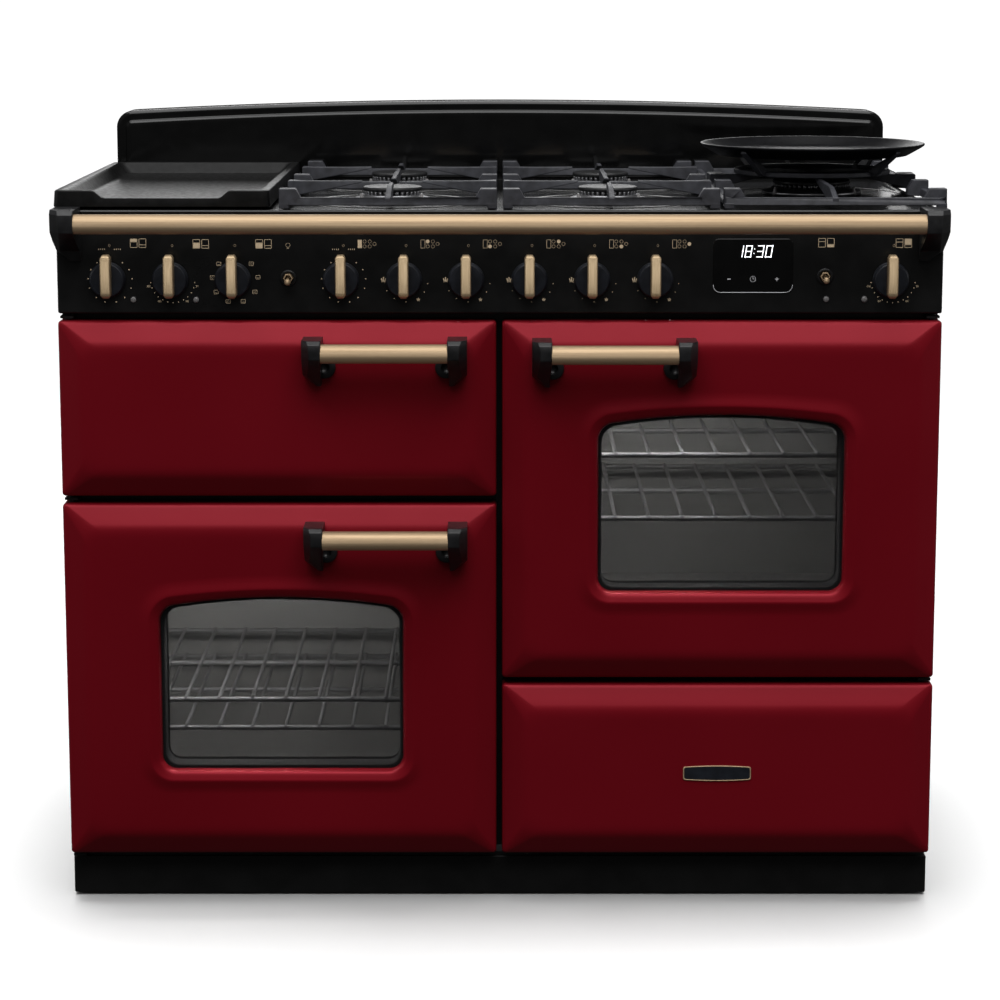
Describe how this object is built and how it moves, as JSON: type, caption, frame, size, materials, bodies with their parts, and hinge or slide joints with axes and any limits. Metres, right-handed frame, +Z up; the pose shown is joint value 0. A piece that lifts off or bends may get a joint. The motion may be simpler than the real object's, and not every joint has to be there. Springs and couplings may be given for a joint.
{
  "type": "freestanding gas range",
  "caption": "Freestanding dual-fuel range cooker with side-hung oven and grill doors, a storage drawer, gas hob with griddle, wok ring and dish, brass rails and a backguard.",
  "frame": {"origin": "centre of the footprint on the floor, under the middle of the doors' width", "axes": "+X to the user's right along the width, -Y to the front, +Z up"},
  "size_m": [1.1025, 0.66, 0.983],
  "materials": {
    "red_enamel": "smooth vitreous enamel, high gloss",
    "black_enamel": "gloss black enamel",
    "grey_enamel": "speckled oven enamel",
    "galvanised_steel": "zinc-coated sheet",
    "brass": "satin brushed brass",
    "black_die_cast": "satin black paint on a die casting",
    "door_glass": "tinted door glass",
    "display_glass": "black display window",
    "ceramic_glass": "black glass ceramic",
    "lamp_lens": "translucent lamp lens",
    "chromed_wire": "chromed wire",
    "element_sheath": "dark heating element sheath",
    "seal_rubber": "woven heat-proof door seal",
    "roller_rubber": "hard roller",
    "cast_iron": "matt black coated cast iron",
    "burner_aluminium": "satin cast aluminium"
  },
  "bodies": {
    "carcass": {"base_frame": "galvanised_steel", "plinth": "black_enamel", "side_panels": "black_enamel", "back_panel": "galvanised_steel", "front_frame": "galvanised_steel", "control_panel": "black_enamel", "hob_tray": "black_enamel", "backguard": "black_enamel", "handrail": "brass", "handrail_brackets": "black_die_cast", "clock_display": "display_glass", "ceramic_zone": "ceramic_glass", "burner_bases": "burner_aluminium", "burner_caps": "cast_iron", "left_oven_cavity": "grey_enamel", "right_oven_cavity": "grey_enamel", "grill_cavity": "grey_enamel", "oven_shelves": "chromed_wire", "grill_pan": "grey_enamel", "heating_elements": "element_sheath", "indicator_lamps": "lamp_lens", "switch_bezels": "brass", "drawer_runners": "galvanised_steel", "hinge_brackets": "galvanised_steel", "door_seals": "seal_rubber", "rear_connections": "brass"},
    "grill_door": {"grill_door_panel": "red_enamel", "grill_door_liner": "grey_enamel", "grill_door_handle": "brass"},
    "left_oven_door": {"left_oven_door_panel": "red_enamel", "left_oven_door_glass": "door_glass", "left_oven_door_liner": "grey_enamel", "left_oven_door_handle": "brass"},
    "right_oven_door": {"right_oven_door_panel": "red_enamel", "right_oven_door_glass": "door_glass", "right_oven_door_liner": "grey_enamel", "right_oven_door_handle": "brass"},
    "drawer": {"drawer_front": "red_enamel", "drawer_box": "galvanised_steel", "badge_plate": "brass"},
    "griddle_body": {"griddle": "cast_iron"},
    "left_support_body": {"pan_support_left": "cast_iron"},
    "centre_support_body": {"pan_support_centre": "cast_iron"},
    "right_support_body": {"pan_support_right": "cast_iron"},
    "wok_ring_body": {"wok_ring": "cast_iron"},
    "dish_body": {"round_dish": "cast_iron"},
    "light_switch": {"light_switch_lever": "brass"},
    "ignition_switch": {"ignition_switch_lever": "brass"},
    "rollers": {"rear_rollers": "roller_rubber"},
    "front_feet": {"levelling_feet": "galvanised_steel"},
    "grill_knob_body": {"grill_knob": "brass"},
    "left_oven_thermostat_knob_body": {"left_oven_thermostat_knob": "brass"},
    "oven_function_knob_body": {"oven_function_knob": "brass"},
    "ceramic_zone_knob_body": {"ceramic_zone_knob": "brass"},
    "burner_knob_1_body": {"burner_knob_1": "brass"},
    "burner_knob_2_body": {"burner_knob_2": "brass"},
    "burner_knob_3_body": {"burner_knob_3": "brass"},
    "burner_knob_4_body": {"burner_knob_4": "brass"},
    "burner_knob_5_body": {"burner_knob_5": "brass"},
    "right_oven_thermostat_knob_body": {"right_oven_thermostat_knob": "brass"}
  },
  "joints": [
    {"name": "grill_door_hinge", "type": "hinge", "parent": "carcass", "child": "grill_door", "pos_m": [-0.5315, -0.247, 0.63], "axis": [0, 0, -1], "range_deg": [0, 110]},
    {"name": "left_oven_door_hinge", "type": "hinge", "parent": "carcass", "child": "left_oven_door", "pos_m": [-0.5315, -0.247, 0.286], "axis": [0, 0, -1], "range_deg": [0, 110]},
    {"name": "right_oven_door_hinge", "type": "hinge", "parent": "carcass", "child": "right_oven_door", "pos_m": [0.5315, -0.247, 0.514], "axis": [0, 0, 1], "range_deg": [0, 110]},
    {"name": "drawer_slide", "type": "slide", "parent": "carcass", "child": "drawer", "axis": [0, -1, 0], "range_m": [0, 0.33]},
    {"name": "griddle_lift", "type": "slide", "parent": "carcass", "child": "griddle_body", "axis": [0, 0, 1], "range_m": [0, 0.15]},
    {"name": "left_support_lift", "type": "slide", "parent": "carcass", "child": "left_support_body", "axis": [0, 0, 1], "range_m": [0, 0.12]},
    {"name": "centre_support_lift", "type": "slide", "parent": "carcass", "child": "centre_support_body", "axis": [0, 0, 1], "range_m": [0, 0.03]},
    {"name": "right_support_lift", "type": "slide", "parent": "carcass", "child": "right_support_body", "axis": [0, 0, 1], "range_m": [0, 0.12]},
    {"name": "wok_ring_lift", "type": "slide", "parent": "right_support_body", "child": "wok_ring_body", "axis": [0, 0, 1], "range_m": [0, 0.1]},
    {"name": "dish_lift", "type": "slide", "parent": "wok_ring_body", "child": "dish_body", "axis": [0, 0, 1], "range_m": [0, 0.1]},
    {"name": "roller_spin", "type": "hinge", "parent": "carcass", "child": "rollers", "pos_m": [0, 0.24, 0.02], "axis": [1, 0, 0], "continuous": true},
    {"name": "front_feet_adjust", "type": "slide", "parent": "carcass", "child": "front_feet", "axis": [0, 0, -1], "range_m": [0, 0.02]},
    {"name": "light_switch_tilt", "type": "hinge", "parent": "carcass", "child": "light_switch", "pos_m": [-0.2587, -0.259, 0.792], "axis": [-1, 0, 0], "range_deg": [0, 24]},
    {"name": "ignition_switch_tilt", "type": "hinge", "parent": "carcass", "child": "ignition_switch", "pos_m": [0.397, -0.259, 0.794], "axis": [-1, 0, 0], "range_deg": [0, 24]},
    {"name": "grill_knob_turn", "type": "hinge", "parent": "carcass", "child": "grill_knob_body", "pos_m": [-0.4795, -0.26, 0.7895], "axis": [0, -1, 0], "range_deg": [-165, 165]},
    {"name": "left_oven_thermostat_knob_turn", "type": "hinge", "parent": "carcass", "child": "left_oven_thermostat_knob_body", "pos_m": [-0.403, -0.26, 0.7895], "axis": [0, -1, 0], "range_deg": [-265, 0]},
    {"name": "oven_function_knob_turn", "type": "hinge", "parent": "carcass", "child": "oven_function_knob_body", "pos_m": [-0.3265, -0.26, 0.7895], "axis": [0, -1, 0], "range_deg": [-315, 0]},
    {"name": "ceramic_zone_knob_turn", "type": "hinge", "parent": "carcass", "child": "ceramic_zone_knob_body", "pos_m": [-0.194, -0.26, 0.7895], "axis": [0, -1, 0], "range_deg": [-165, 165]},
    {"name": "burner_knob_1_turn", "type": "hinge", "parent": "carcass", "child": "burner_knob_1_body", "pos_m": [-0.1175, -0.26, 0.7895], "axis": [0, -1, 0], "range_deg": [0, 215]},
    {"name": "burner_knob_2_turn", "type": "hinge", "parent": "carcass", "child": "burner_knob_2_body", "pos_m": [-0.0415, -0.26, 0.7895], "axis": [0, -1, 0], "range_deg": [0, 215]},
    {"name": "burner_knob_3_turn", "type": "hinge", "parent": "carcass", "child": "burner_knob_3_body", "pos_m": [0.036, -0.26, 0.7895], "axis": [0, -1, 0], "range_deg": [0, 215]},
    {"name": "burner_knob_4_turn", "type": "hinge", "parent": "carcass", "child": "burner_knob_4_body", "pos_m": [0.1125, -0.26, 0.7895], "axis": [0, -1, 0], "range_deg": [0, 215]},
    {"name": "burner_knob_5_turn", "type": "hinge", "parent": "carcass", "child": "burner_knob_5_body", "pos_m": [0.1895, -0.26, 0.7895], "axis": [0, -1, 0], "range_deg": [0, 215]},
    {"name": "right_oven_thermostat_knob_turn", "type": "hinge", "parent": "carcass", "child": "right_oven_thermostat_knob_body", "pos_m": [0.4775, -0.26, 0.7895], "axis": [0, -1, 0], "range_deg": [-265, 0]}
  ]
}
